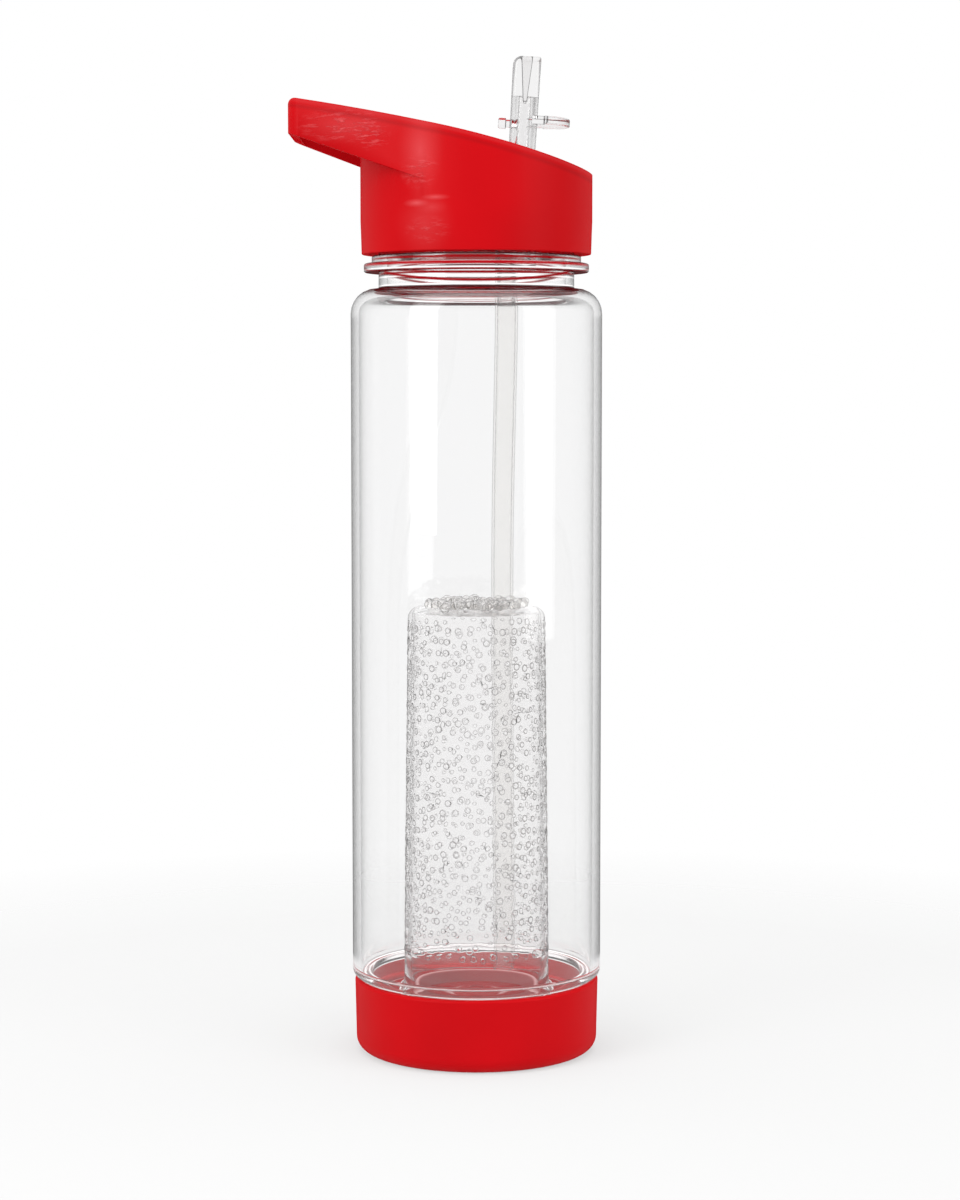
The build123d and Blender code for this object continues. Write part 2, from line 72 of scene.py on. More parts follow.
# shader maths: a wrapped socket that adds Math nodes when it is used in an expression
class Wire:
    def __init__(self, tree, socket):
        self.tree = tree
        self.socket = socket

    def maths(self, operation, first, second):
        node = self.tree.nodes.new("ShaderNodeMath")
        node.operation = operation
        for slot, value in zip(node.inputs, (first, second)):
            if isinstance(value, Wire):
                self.tree.links.new(value.socket, slot)
            else:
                slot.default_value = value
        return Wire(self.tree, node.outputs[0])

    def __add__(self, other):
        return self.maths("ADD", self, other)

    def __radd__(self, other):
        return self.maths("ADD", other, self)

    def __sub__(self, other):
        return self.maths("SUBTRACT", self, other)

    def __rsub__(self, other):
        return self.maths("SUBTRACT", other, self)

    def __mul__(self, other):
        return self.maths("MULTIPLY", self, other)

    def __rmul__(self, other):
        return self.maths("MULTIPLY", other, self)

    def __truediv__(self, other):
        return self.maths("DIVIDE", self, other)

    def __pow__(self, other):
        return self.maths("POWER", self, other)

    def atLeast(self, other):
        return self.maths("MAXIMUM", self, other)

    def atMost(self, other):
        return self.maths("MINIMUM", self, other)


# the nodes of a material or of the world
class Paint:
    def __init__(self, owner, output="ShaderNodeOutputMaterial"):
        self.owner = owner
        owner.use_nodes = True
        self.tree = owner.node_tree
        self.tree.nodes.clear()
        self.output = self.tree.nodes.new(output)

    # any node: its type, its settings, then the values or links of its sockets
    def add(self, kind, settings=None, sockets=None, out=0):
        node = self.tree.nodes.new(kind)
        for key, value in (settings or {}).items():
            if key == "stops":
                ramp = node.color_ramp
                while len(ramp.elements) < len(value):
                    ramp.elements.new(0.5)
                for element, (place, colour) in zip(ramp.elements, value):
                    element.position = place
                    element.color = (*colour, 1)
            else:
                setattr(node, key, value)
        for key, value in (sockets or {}).items():
            if isinstance(value, Wire):
                self.tree.links.new(value.socket, node.inputs[key])
            else:
                node.inputs[key].default_value = value
        return Wire(self.tree, node.outputs[out])

    def noise(self, scale, detail=2.0, where=None, roughness=0.5):
        sockets = {"Scale": scale, "Detail": detail, "Roughness": roughness}
        sockets["Vector"] = where or self.place()
        return self.add("ShaderNodeTexNoise", None, sockets)

    def place(self):
        return self.add("ShaderNodeTexCoord", None, None, "Object")

    def stretched(self, scale):
        return self.add("ShaderNodeMapping", None, {"Vector": self.place(), "Scale": scale})

    def length(self, vector):
        return self.add("ShaderNodeVectorMath", {"operation": "LENGTH"}, {0: vector}, "Value")

    # distance from the bottle's middle line
    def radius(self):
        return self.length(self.stretched((1, 1, 0)))

    def upward(self, vector):
        return self.add("ShaderNodeSeparateXYZ", None, {"Vector": vector}, "Z")

    def ray(self, kind):
        return self.add("ShaderNodeLightPath", None, None, kind)

    def facing(self):
        return self.add("ShaderNodeLayerWeight", None, {"Blend": 0.5}, "Facing")

    def plastic(self, sockets):
        return self.add("ShaderNodeBsdfPrincipled", None, sockets)

    def mix(self, share, one, other):
        return self.add("ShaderNodeMixShader", None, {0: share, 1: one, 2: other})

    def ramp(self, factor, stops):
        return self.add("ShaderNodeValToRGB", {"stops": stops}, {"Fac": factor})

    def blend(self, factor, first, second):
        sockets = {"Factor": factor}
        for key, colour in ((6, first), (7, second)):
            sockets[key] = colour if isinstance(colour, Wire) else (*colour, 1)
        return self.add("ShaderNodeMix", {"data_type": "RGBA"}, sockets, 2)

    def bump(self, height, distance):
        return self.add("ShaderNodeBump", None, {"Height": height, "Distance": distance, "Strength": 1.0})

    # how near the surface is to a point of the piece: 1 at the point, 0 at the reach along each axis
    def near(self, point, reach):
        away = self.add("ShaderNodeVectorMath", {"operation": "SUBTRACT"}, {0: self.place(), 1: point})
        shares = tuple(1 / side for side in reach)
        scaled = self.add("ShaderNodeVectorMath", {"operation": "MULTIPLY"}, {0: away, 1: shares})
        return (1 - self.length(scaled)).atLeast(0)

    def finish(self, shader):
        self.tree.links.new(shader.socket, self.output.inputs["Surface"])
        return self.owner


# 1 at a value, 0 once a reach away from it
def band(wire, value, reach):
    return (1 - ((wire - value) * (wire - value)) ** 0.5 / reach).atLeast(0)


# 0 below a value and 1 above it; the steepness is how fast it changes, per metre
def above(wire, value, steepness):
    return ((wire - value) * steepness).atLeast(0).atMost(1)


# a painted line of light or shade on clear plastic, glowing in its own colour
def paintedLightLine(paint, share, body, look):
    colour = (*look["colour"], 1)
    line = paint.plastic({
        "Base Color": colour, "Roughness": clear["lineRoughness"], "Specular IOR Level": 0.0,
        "Emission Color": colour, "Emission Strength": look["glow"],
    })
    return paint.mix(share, body, line)


# colours of the painted lines: reds paint the lid's reflection, darks paint shade and dark lines, whites
# paint highlights
paintedLightColours = {
    "black": {"colour": (0.05, 0.005, 0.006), "glow": 0.2},
    "umber": {"colour": (0.08, 0.006, 0.008), "glow": 0.2},
    "crimson": {"colour": (0.28, 0.003, 0.006), "glow": 0.5},
    "scarlet": {"colour": (0.34, 0.003, 0.007), "glow": 0.5},
    "garnet": {"colour": (0.24, 0.003, 0.006), "glow": 0.4},
    "ruby": {"colour": (0.26, 0.003, 0.006), "glow": 0.45},
    "white": {"colour": (0.9, 0.88, 0.88), "glow": 0.9},
    "underLid": {"colour": (0.08, 0.003, 0.005), "glow": 0.25},
    "grey": {"colour": (0.2, 0.15, 0.15), "glow": 0.2},
    "brown": {"colour": (0.25, 0.1, 0.1), "glow": 0.2},
    "maroon": {"colour": (0.2, 0.05, 0.05), "glow": 0.2},
    "pearl": {"colour": (0.93, 0.9, 0.9), "glow": 0.8},
    "blush": {"colour": (0.93, 0.88, 0.88), "glow": 0.7},
}

# what all clear plastics share; a look below that has the key milk or underLid uses those rows too
clear = {
    "edgeRoughness": 0.6, "lineRoughness": 0.5, "lineFade": 3.0, "cornerSamples": 8,
    "through": (0.96, 0.96, 0.96, 1),
    "milk": {
        "colour": (0.93, 0.93, 0.92, 1), "roughness": 0.4, "ior": 1.4, "cloudSize": 300.0,
        "least": 0.8, "drift": 0.4,
    },
    "underLid": {"steepness": 600.0, "levelPower": 2.0, "share": 1.5, "most": 0.96},
}


# clear plastic: refracts, lets shadows through, and gets a painted dark edge where the eye grazes the surface
def clearPlastic(name, look):
    paint = Paint(bpy.data.materials.new(name))
    body = paint.plastic({
        "Base Color": (*look["tint"], 1), "Roughness": look.get("roughness", 0.0),
        "IOR": look.get("ior", 1.5), "Transmission Weight": 1.0,
    })
    if "milk" in look:
        milk = clear["milk"]
        cloud = paint.noise(milk["cloudSize"])
        dull = paint.plastic({
            "Base Color": milk["colour"], "Roughness": milk["roughness"], "IOR": milk["ior"],
        })
        body = paint.mix(look["milk"] * (milk["least"] + milk["drift"] * cloud), body, dull)
    facing = paint.facing()
    inside = paint.add("ShaderNodeNewGeometry", None, None, "Backfacing")
    height = paint.upward(paint.place())
    level = paint.upward(paint.add("ShaderNodeTexCoord", None, None, "Normal"))
    edge = facing ** look["edgePower"] * look["edgeShare"]
    if look.get("outside"):
        edge = edge * (1 - inside)
    if "wallShade" in look:
        # painted shade on the inside faces, for light that is caught in the wall and comes out weaker, but
        # not in the curve of the shoulder
        shade = look["wallShade"]
        caught = inside * above(facing, shade["start"], shade["steepness"]) * shade["share"]
        spared = (band(height, *shade["spared"]) * shade["sparing"]).atMost(shade["mostSpared"])
        edge = edge.atLeast(caught * (1 - spared))
    if "upright" in look:
        # level faces get little of the painted dark edge, because they are always seen at a slant
        edge = edge * (1 - level * level) ** look["upright"]
    if "outline" in look:
        # a painted dark outline on the rounded corners of a moulding, which look dark against the light
        outline = look["outline"]
        corners = {"samples": clear["cornerSamples"]}
        rounded = paint.add("ShaderNodeBevel", corners, {"Radius": outline["radius"]})
        plain = paint.add("ShaderNodeNewGeometry", None, None, "Normal")
        dot = {"operation": "DOT_PRODUCT"}
        same = paint.add("ShaderNodeVectorMath", dot, {0: rounded, 1: plain}, "Value")
        corner = ((1 - same * same) * outline["contrast"]).atLeast(0).atMost(1)
        edge = edge.atLeast(corner * outline["share"])
    if "bright" in look:
        bright = look["bright"]
        edge = edge * ((height - bright["below"]) * bright["steepness"]).atLeast(bright["least"]).atMost(1)
    # a painted dark outline along the curve of the shoulder
    if "shoulder" in look:
        shoulder = look["shoulder"]
        curve = band(height, shoulder["height"], shoulder["reach"])
        edge = edge.atLeast(curve * facing ** shoulder["power"] * shoulder["share"])
    dark = paint.plastic({
        "Base Color": (*look["edge"], 1), "Roughness": clear["edgeRoughness"], "Specular IOR Level": 0.0,
    })
    body = paint.mix(edge, body, dark)
    if "underLid" in look:
        # painted reflection: the shoulder's level face gets the dark red of the lid above it
        row = clear["underLid"]
        lying = (level * level) ** row["levelPower"]
        under = above(height, look["underLid"], row["steepness"]) * lying * facing
        body = paintedLightLine(paint, (under * row["share"]).atMost(row["most"]), body, paintedLightColours["underLid"])
    # painted lines round the neck: the lid's painted reflection, painted shade and painted highlights
    for place, reach, weight, kind, climb in look.get("lines", ()):
        front = (1 - facing ** clear["lineFade"]) * (1 - inside)
        share = band(height - facing * climb, place, reach) * weight * front
        body = paintedLightLine(paint, share, body, paintedLightColours[kind])
    # painted rings of highlight and dark line on the level faces
    for place, reach, weight, kind in look.get("rings", ()):
        share = band(paint.radius(), place, reach) * level * level * weight
        body = paintedLightLine(paint, share, body, paintedLightColours[kind])
    # scattered light and shadows pass straight through
    straight = paint.ray("Is Shadow Ray").atLeast(paint.ray("Is Diffuse Ray"))
    through = paint.add("ShaderNodeBsdfTransparent", None, {"Color": clear["through"]})
    return paint.finish(paint.mix(straight, body, through))


red = {
    "deep": (0.60, 0.002, 0.005), "fresh": (0.70, 0.002, 0.006), "wornAndSheen": (0.86, 0.11, 0.12),
    "shade": (0.27, 0.004, 0.007), "glint": (0.95, 0.6, 0.6), "scattered": (0.3, 0.3, 0.3),
    "drift": (0.3, 0.7), "driftSize": 28.0, "grainSize": 2600.0, "swellSize": 70.0, "ior": 1.5,
    "roughness": 0.34, "grainRough": 0.08, "swellRough": 0.10, "wornRough": 0.25,
    "relief": 0.00002, "grainHigh": 0.35, "swellHigh": 4.0, "wornHigh": 5.0,
    "shine": 0.08, "dullPower": 1.5, "scatterShare": 0.8, "mostWorn": 0.85,
}
scratch = {
    "size": 420.0, "detail": 6.0, "stretch": (0.3, 1.0, 2.2), "roughness": 0.75,
    "threshold": 0.50, "contrast": 7.0, "most": 0.7,
}
sheen = {"power": 1.5, "least": 0.6, "drift": 0.8}


# scuffs on the lid as patches of paler, rougher plastic, with painted highlights (the sheens) and a painted
# highlight along the crown's rim in the same paler colour
def wearAndSheenOf(paint, look, swell):
    grooves = paint.stretched(scratch["stretch"])
    scratches = paint.noise(scratch["size"], scratch["detail"], grooves, scratch["roughness"])
    mask = None
    for point, reach, weight in look["scuffs"]:
        patch = paint.near(point, reach) * weight
        mask = patch if mask is None else mask + patch
    scored = (scratches - scratch["threshold"]).atLeast(0) * scratch["contrast"]
    wearAndSheen = (scored * mask).atMost(scratch["most"])
    # painted highlights: the sheens, in the same paler colour as the scuffs
    for point, reach, weight in look["sheens"]:
        patch = paint.near(point, reach) ** sheen["power"] * weight
        wearAndSheen = wearAndSheen + patch * (sheen["least"] + sheen["drift"] * swell)
    # a painted highlight along the crown's rim
    rim = look["rim"]
    return wearAndSheen + band(underCrown(paint), rim["depth"], rim["reach"]) * rim["share"]


# satin red with a painted glow of strength glow; the lid gets scuffs with painted highlights and a painted
# shade line below the crown's edge, and the inside of the base, the well, gets painted shade, painted glints
# and a painted glow on its wall
def redPlastic(name, wearAndSheen=None, well=None, glow=0.0):
    paint = Paint(bpy.data.materials.new(name))
    low, high = red["drift"]
    colour = paint.ramp(paint.noise(red["driftSize"]), [(low, red["deep"]), (high, red["fresh"])])
    grain = paint.noise(red["grainSize"])
    swell = paint.noise(red["swellSize"])
    rough = red["roughness"] + red["grainRough"] * grain + red["swellRough"] * (swell - 0.5)
    height = red["grainHigh"] * grain + red["swellHigh"] * swell
    # the colour of the painted glow; its strength is glow
    emission = (*red["fresh"], 1)
    if wearAndSheen:
        # scuffs and painted highlights make the red paler, rougher and raised
        wornAndSheen = wearAndSheenOf(paint, wearAndSheen, swell)
        colour = paint.blend(wornAndSheen.atMost(red["mostWorn"]), colour, red["wornAndSheen"])
        rough = rough + red["wornRough"] * wornAndSheen
        height = height + red["wornHigh"] * wornAndSheen
        # painted shade: a dark line below the rounding of the crown's edge
        crownEdgeShade = wearAndSheen["crownEdgeShade"]
        shaded = band(underCrown(paint), crownEdgeShade["depth"], crownEdgeShade["reach"]) * crownEdgeShade["share"]
        colour = paint.blend(shaded, colour, red["shade"])
    if well:
        radius = paint.radius()
        # painted shade on the inside of the base's well
        inside = ((well["radius"] - radius) * well["steepness"]).atLeast(0).atMost(1)
        inside = inside * above(paint.upward(paint.place()), well["floor"], well["steepness"])
        colour = paint.blend(inside * well["shade"], colour, red["shade"])
        # painted glints on rings in the well
        for ring, reach in well["rings"]:
            colour = paint.blend(band(radius, ring, reach) * inside * well["glint"], colour, red["glint"])
        # a painted glow on the well's wall
        lit = inside * above(radius, well["wall"], well["steepness"])
        emission = paint.blend(lit, (0, 0, 0), red["fresh"])
    # scattered light carries little of the red on to the pale floor
    colour = paint.blend(paint.ray("Is Diffuse Ray") * red["scatterShare"], colour, red["scattered"])
    both = {
        "Base Color": colour, "Roughness": rough, "IOR": red["ior"],
        "Normal": paint.bump(height, red["relief"]), "Emission Color": emission, "Emission Strength": glow,
    }
    shiny = paint.plastic({**both, "Specular IOR Level": red["shine"]})
    matt = paint.plastic({**both, "Specular IOR Level": 0.0})
    # duller at a slant, or the edges would turn pale
    return paint.finish(paint.mix(paint.facing() ** red["dullPower"], shiny, matt))


print("finishes ready")


# a corner is (radius, height) or (radius, height, rounding), in millimetres
def roundedProfile(corners, arcSteps=6):
    points = []
    count = len(corners)
    for index, corner in enumerate(corners):
        here = Vector(corner[:2])
        rounding = corner[2] if len(corner) > 2 else 0
        if not rounding:
            points.append(tuple(here))
            continue
        before = (Vector(corners[index - 1][:2]) - here).normalized()
        after = (Vector(corners[(index + 1) % count][:2]) - here).normalized()
        half = before.angle(after) / 2
        reach = rounding / math.tan(half)
        centre = here + (before + after).normalized() * rounding / math.sin(half)
        start = here + before * reach - centre
        end = here + after * reach - centre
        sweep = start.angle_signed(end)
        for step in range(arcSteps + 1):
            turn = -sweep * step / arcSteps
            cosine, sine = math.cos(turn), math.sin(turn)
            spoke = Vector((start.x * cosine - start.y * sine, start.x * sine + start.y * cosine))
            points.append(tuple(centre + spoke))
    return points


def meshObject(name, verts, faces, material, sharpAngle=40):
    mesh = bpy.data.meshes.new(name)
    mesh.from_pydata([tuple(c * mm for c in v) for v in verts], [], faces)
    mesh.validate()
    mesh.shade_smooth()
    mesh.set_sharp_from_angle(angle=math.radians(sharpAngle))
    mesh.materials.append(material)
    piece = bpy.data.objects.new(name, mesh)
    scene.collection.objects.link(piece)
    return piece


# a turned shell; lift(radius, height, angle) may move a point in or out, as a thread does
def turned(profile, segments, lift=None):
    verts, faces, rings = [], [], []
    for radius, height in profile:
        if radius < 1e-6:
            rings.append([len(verts)])
            verts.append((0, 0, height))
            continue
        ring = []
        for step in range(segments):
            angle = 2 * math.pi * step / segments
            out = radius + (lift(radius, height, angle) if lift else 0)
            ring.append(len(verts))
            verts.append((out * math.cos(angle), out * math.sin(angle), height))
        rings.append(ring)
    for low, high in zip(rings, rings[1:] + rings[:1]):
        for step in range(segments):
            following = (step + 1) % segments
            if len(low) == 1 and len(high) == 1:
                break
            if len(low) == 1:
                faces.append((low[0], high[following], high[step]))
            elif len(high) == 1:
                faces.append((low[step], low[following], high[0]))
            else:
                faces.append((low[step], low[following], high[following], high[step]))
    return verts, faces


thread = {"pitch": 4.0, "turns": 1.5, "halfWidth": 0.85, "flank": 0.35, "runIn": 1 / 8}


# how far a screw thread lifts the wall that it stands on
def threadLift(wallRadius, depth, lowest):
    turns = thread["turns"]

    def lift(radius, height, angle):
        if abs(radius - wallRadius) > 0.02:
            return 0
        best = 0
        for lap in range(-1, int(turns) + 2):
            along = angle / (2 * math.pi) + lap
            if along < 0 or along > turns:
                continue
            away = abs(height - lowest - thread["pitch"] * along)
            taper = min(1, along / thread["runIn"], (turns - along) / thread["runIn"])
            best = max(best, taper * min(1, max(0, (thread["halfWidth"] - away) / thread["flank"])))
        return depth * best
    return lift


def rows(radius, low, high, step=0.2):
    count = max(1, round(abs(high - low) / step))
    return [(radius, low + (high - low) * index / count) for index in range(count + 1)]


# radii and heights of the clear body in millimetres
bottle = {
    "outer": 35.0, "inner": 32.8, "foot": 20.8, "shoulder": 214.2, "skirtOuter": 31.2, "skirtInner": 29.4,
    "skirtFoot": 6.0, "neck": 27.2, "neckInner": 25.0, "rim": 236.0, "flange": 31.3, "collar": 29.1,
    "flangeLow": 218.6, "flangeHigh": 221.1, "collarTop": 223.2, "ceiling": 212.0, "floor": 23.0,
    "skirtThread": (0.9, 8.6), "neckThread": (1.2, 226.0), "footLook": 25.0, "segments": 192,
    "skirtRows": (7.4, 16.6), "neckRows": (224.6, 233.6),
    "rounding": {
        "skirt": 0.4, "foot": 2.6, "shoulder": 7.0, "neckFoot": 0.5, "flange": 0.6, "collar": 0.5,
        "rim": 0.6, "throat": 1.4, "ceiling": 4.8, "floor": 1.2, "lip": 0.8,
    },
}


bottleLook = {
    "tint": (0.962, 0.962, 0.963), "edge": (0.02, 0.02, 0.02), "edgePower": 6.0, "edgeShare": 1.0,
    "upright": 0.5, "bright": {"below": 0.0255, "steepness": 400.0, "least": 0.06}, "underLid": 0.2125,
    "shoulder": {"height": 0.2125, "reach": 0.007, "power": 7.0, "share": 1.3},
    "wallShade": {
        "share": 0.35, "start": 0.235, "steepness": 20.0,
        "spared": (0.2105, 0.005), "sparing": 3.0, "mostSpared": 0.75,
    },
    # each painted line of the lid's reflection, of shade or of highlight: height, reach, share, colour, and
    # how much it climbs towards the sides
    "lines": (
        (0.2230, 0.0005, 1.3, "umber", 0.0), (0.2221, 0.0005, 1.3, "crimson", 0.0),
        (0.2205, 0.0007, 1.3, "scarlet", 0.0), (0.2192, 0.0003, 0.9, "white", 0.0),
        (0.2180, 0.0004, 1.3, "garnet", 0.0), (0.2171, 0.0003, 0.9, "white", 0.0),
        (0.2158, 0.0006, 1.4, "ruby", 0.0042), (0.2148, 0.0003, 0.9, "white", 0.0),
        (0.2142, 0.0005, 1.3, "black", 0.0),
    ),
}
bottleFootLook = {
    "tint": (0.985, 0.98, 0.98), "edge": (0.2, 0.14, 0.14), "edgePower": 4.0, "edgeShare": 0.45, "milk": 0.06,
    "ior": 1.15, "upright": 1.0,
    # each painted ring of highlight or dark line: radius, reach, share and colour
    "rings": (
        (0.0322, 0.0003, 0.8, "grey"), (0.0316, 0.0004, 0.9, "pearl"), (0.0309, 0.0003, 0.7, "brown"),
        (0.0303, 0.0004, 0.8, "blush"), (0.0296, 0.0003, 0.8, "maroon"), (0.0336, 0.0004, 0.6, "pearl"),
    ),
}


def makeBottle():
    b, r = bottle, bottle["rounding"]
    corners = [(b["skirtInner"], b["skirtFoot"]), (b["skirtOuter"], b["skirtFoot"])]
    corners += rows(b["skirtOuter"], *b["skirtRows"])
    corners += [
        (b["skirtOuter"], b["foot"], r["skirt"]), (b["outer"], b["foot"], r["foot"]),
        (b["outer"], b["shoulder"], r["shoulder"]), (b["neck"], b["shoulder"], r["neckFoot"]),
        (b["neck"], b["flangeLow"]), (b["flange"], b["flangeLow"], r["flange"]),
        (b["flange"], b["flangeHigh"], r["flange"]), (b["collar"], b["flangeHigh"]),
        (b["collar"], b["collarTop"], r["collar"]), (b["neck"], b["collarTop"]),
    ]
    corners += rows(b["neck"], *b["neckRows"])
    corners += [
        (b["neck"], b["rim"], r["rim"]), (b["neckInner"], b["rim"], r["rim"]),
        (b["neckInner"], b["ceiling"], r["throat"]), (b["inner"], b["ceiling"], r["ceiling"]),
        (b["inner"], b["floor"], r["floor"]), (b["skirtInner"], b["floor"], r["lip"]),
    ]
    skirtThread = threadLift(b["skirtOuter"], *b["skirtThread"])
    neckThread = threadLift(b["neck"], *b["neckThread"])

    def lift(radius, height, angle):
        below = height < b["foot"]
        return skirtThread(radius, height, angle) if below else neckThread(radius, height, angle)

    verts, faces = turned(roundedProfile(corners), b["segments"], lift)
    piece = meshObject("clearBottle", verts, faces, clearPlastic("bodyClear", bottleLook))
    piece.data.materials.append(clearPlastic("bodyFoot", bottleFootLook))
    for face in piece.data.polygons:
        if face.center.z < b["footLook"] * mm:
            face.material_index = 1
    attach(piece, "bottle")
    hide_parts("bottle_body")


makeBottle()
print("bottle made")


# the perforated basket in millimetres. Lip and rise are the least and most radius and height of a raised
# lip, hole is the hole's share of the lip, and rings are the lip's two crests as shares of both. Aside and
# up are the waves that stray the cells: size, count round the basket, climb for each row, and start
infuser = {
    "bottom": 16.1, "top": 125.6, "footRadius": 20.5, "topRadius": 19.25, "wall": 1.6, "flange": 21.85,
    "flangeTop": 18.4, "footInner": 18.15, "footTop": 20.1, "footSlope": 21.7, "ceiling": 124.0,
    "columns": 40, "rows": 30, "bandLow": 28.0, "bandHigh": 121.8, "seed": 11,
    "lip": (0.6, 1.1), "rise": (0.04, 0.12), "hole": (0.5, 0.66), "beadShare": 0.25, "mound": 15.25,
    "cellGap": 0.1, "calmRows": 1.5, "meanRadius": 20,
    "rings": ((0.88, 0.8), (0.68, 1.0)), "holeEdge": 0.5, "beadRing": (0.3, 1.2),
    "rounding": {
        "footInner": 0.3, "flangeFoot": 0.5, "flange": 0.6, "wallFoot": 0.5, "top": 3.4, "ceiling": 1.2,
    },
    "stagger": 0.25, "aside": ((0.22, 7, 1.3, 0.4), (0.14, 11, -0.9, 2.1)),
    "up": ((0.24, 9, 0.7, 0.0), (0.14, 5, -1.1, 1.0)),
}
basketLook = {
    "tint": (0.985, 0.98, 0.98), "edge": (0.12, 0.11, 0.11), "edgePower": 8.0, "edgeShare": 0.9,
    "milk": 0.035, "ior": 1.03, "upright": 0.6,
}
basketRimLook = {
    "tint": (0.9, 0.88, 0.88), "edge": (0.06, 0.05, 0.05), "edgePower": 0.3, "edgeShare": 0.72, "ior": 1.2,
}
basketFootLook = {
    "tint": (0.98, 0.975, 0.975), "edge": (0.14, 0.13, 0.13), "edgePower": 3.5, "edgeShare": 0.5, "ior": 1.12,
    "upright": 0.6,
    # painted rings of highlight and dark line round the flange: radius, reach, share and colour
    "rings": (
        (0.0216, 0.0003, 0.85, "pearl"), (0.0210, 0.0003, 0.7, "brown"), (0.0189, 0.0003, 0.8, "blush"),
    ),
}


def infuserRadius(height):
    share = (height - infuser["flangeTop"]) / (infuser["top"] - infuser["flangeTop"])
    return infuser["footRadius"] + (infuser["topRadius"] - infuser["footRadius"]) * share


# moves the cells about so that the holes stand in no rows or columns
def strayed(column, row):
    fade = max(0, min(1, row / infuser["calmRows"], (infuser["rows"] - row) / infuser["calmRows"]))
    angle = 2 * math.pi * column / infuser["columns"]

    def waves(kind):
        return sum(
            size * math.sin(count * angle + climb * row + start)
            for size, count, climb, start in infuser[kind]
        )

    aside = infuser["stagger"] * math.cos(math.pi * (row - 0.5)) + waves("aside")
    up = waves("up")
    cell = (infuser["bandHigh"] - infuser["bandLow"]) / infuser["rows"]
    height = infuser["bandLow"] + cell * (row + up * fade)
    return 2 * math.pi * (column + aside * fade) / infuser["columns"], height


# the eight points round a cell, in half cells
cellWalk = ((0, 0), (1, 0), (2, 0), (2, 1), (2, 2), (1, 2), (0, 2), (0, 1))


def makeInfuser():
    draw = random.Random(infuser["seed"])
    columns, bands, wall = infuser["columns"], infuser["rows"], infuser["wall"]
    low, high = infuser["bandLow"], infuser["bandHigh"]
    around = columns * 2
    cellHigh = (high - low) / bands
    verts, faces, grid, rims = [], [], {}, set()

    def point(radius, angle, height):
        verts.append((radius * math.cos(angle), radius * math.sin(angle), height))
        return len(verts) - 1

    for row in range(bands * 2 + 1):
        for step in range(around):
            if row % 2 and step % 2:
                continue
            angle, height = strayed(step / 2, row / 2)
            grid["out", row, step] = point(infuserRadius(height), angle, height)
            grid["in", row, step] = point(infuserRadius(height) - wall, angle, height)

    def border(side, column, row):
        return [grid[side, row * 2 + up, (column * 2 + right) % around] for right, up in cellWalk]

    def ringAt(centre, size, lifted, inward=0):
        angle, middle = centre
        made = []
        for right, up in cellWalk:
            turn = math.atan2(up - 1, right - 1)
            height = middle + size * math.sin(turn)
            radius = infuserRadius(height)
            made.append(point(radius - inward + lifted, angle + size * math.cos(turn) / radius, height))
        return made

    for row in range(bands):
        for column in range(columns):
            lip = draw.uniform(*infuser["lip"])
            rise = draw.uniform(*infuser["rise"])
            hole = lip * draw.uniform(*infuser["hole"])
            room = cellHigh / 2 - lip - infuser["cellGap"]
            angle, height = strayed(column + 0.5, row + 0.5)
            angle += draw.uniform(-room, room) / infuser["meanRadius"]
            centre = (angle, height + draw.uniform(-room, room))
            chain = [border("out", column, row), ringAt(centre, lip, 0)]
            chain += [ringAt(centre, lip * wide, rise * tall) for wide, tall in infuser["rings"]]
            bead = draw.random() < infuser["beadShare"]
            if bead:
                wide, tall = infuser["beadRing"]
                chain.append(ringAt(centre, lip * wide, rise * tall))
            else:
                chain += [ringAt(centre, hole, rise * infuser["holeEdge"]), ringAt(centre, hole, 0, wall)]
                chain.append(border("in", column, row))
            for link, (first, second) in enumerate(zip(chain, chain[1:])):
                if link in (1, 2):
                    rims.update(range(len(faces), len(faces) + 8))
                for k in range(8):
                    n = (k + 1) % 8
                    faces.append((first[k], first[n], second[n], second[k]))
            if bead:
                faces.append(tuple(chain[-1]))
                faces.append(tuple(reversed(border("in", column, row))))
    # plain foot and top, with the same steps round
    b, r = infuser, infuser["rounding"]
    foot = [
        (infuserRadius(low) - wall, low), (b["footRadius"] - wall, b["footSlope"]),
        (b["footInner"], b["footTop"]), (b["footInner"], b["bottom"], r["footInner"]),
        (b["flange"], b["bottom"], r["flangeFoot"]), (b["flange"], b["flangeTop"], r["flange"]),
        (b["footRadius"], b["flangeTop"], r["wallFoot"]), (infuserRadius(low), low),
    ]
    top = [
        (infuserRadius(high), high), (b["topRadius"], b["top"], r["top"]), (0, b["top"]), (0, b["ceiling"]),
        (b["topRadius"] - wall, b["ceiling"], r["ceiling"]), (infuserRadius(high) - wall, high),
    ]
    for corners in (foot, top):
        moreVerts, moreFaces = turned(roundedProfile(corners), around)
        offset = len(verts)
        if corners is foot:
            footFaces = range(len(faces), len(faces) + len(moreFaces) - around)
        verts.extend(moreVerts)
        # the last ring of faces would close the strip across the wall
        faces.extend(tuple(v + offset for v in face) for face in moreFaces[:-around])
    piece = meshObject("perforatedInfuser", verts, faces, clearPlastic("infuserClear", basketLook), 60)
    piece.data.materials.append(clearPlastic("infuserRims", basketRimLook))
    piece.data.materials.append(clearPlastic("infuserFoot", basketFootLook))
    for index in rims:
        piece.data.polygons[index].material_index = 1
    for index in footFaces:
        piece.data.polygons[index].material_index = 2
    weld(piece)
    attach(piece, "infuser")
    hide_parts("infuser_basket")
    makeBeads(draw)


weldReach = 0.00001


def weld(piece):
    work = bmesh.new()
    work.from_mesh(piece.data)
    bmesh.ops.remove_doubles(work, verts=work.verts, dist=weldReach)
    bmesh.ops.recalc_face_normals(work, faces=work.faces)
    work.to_mesh(piece.data)
    work.free()


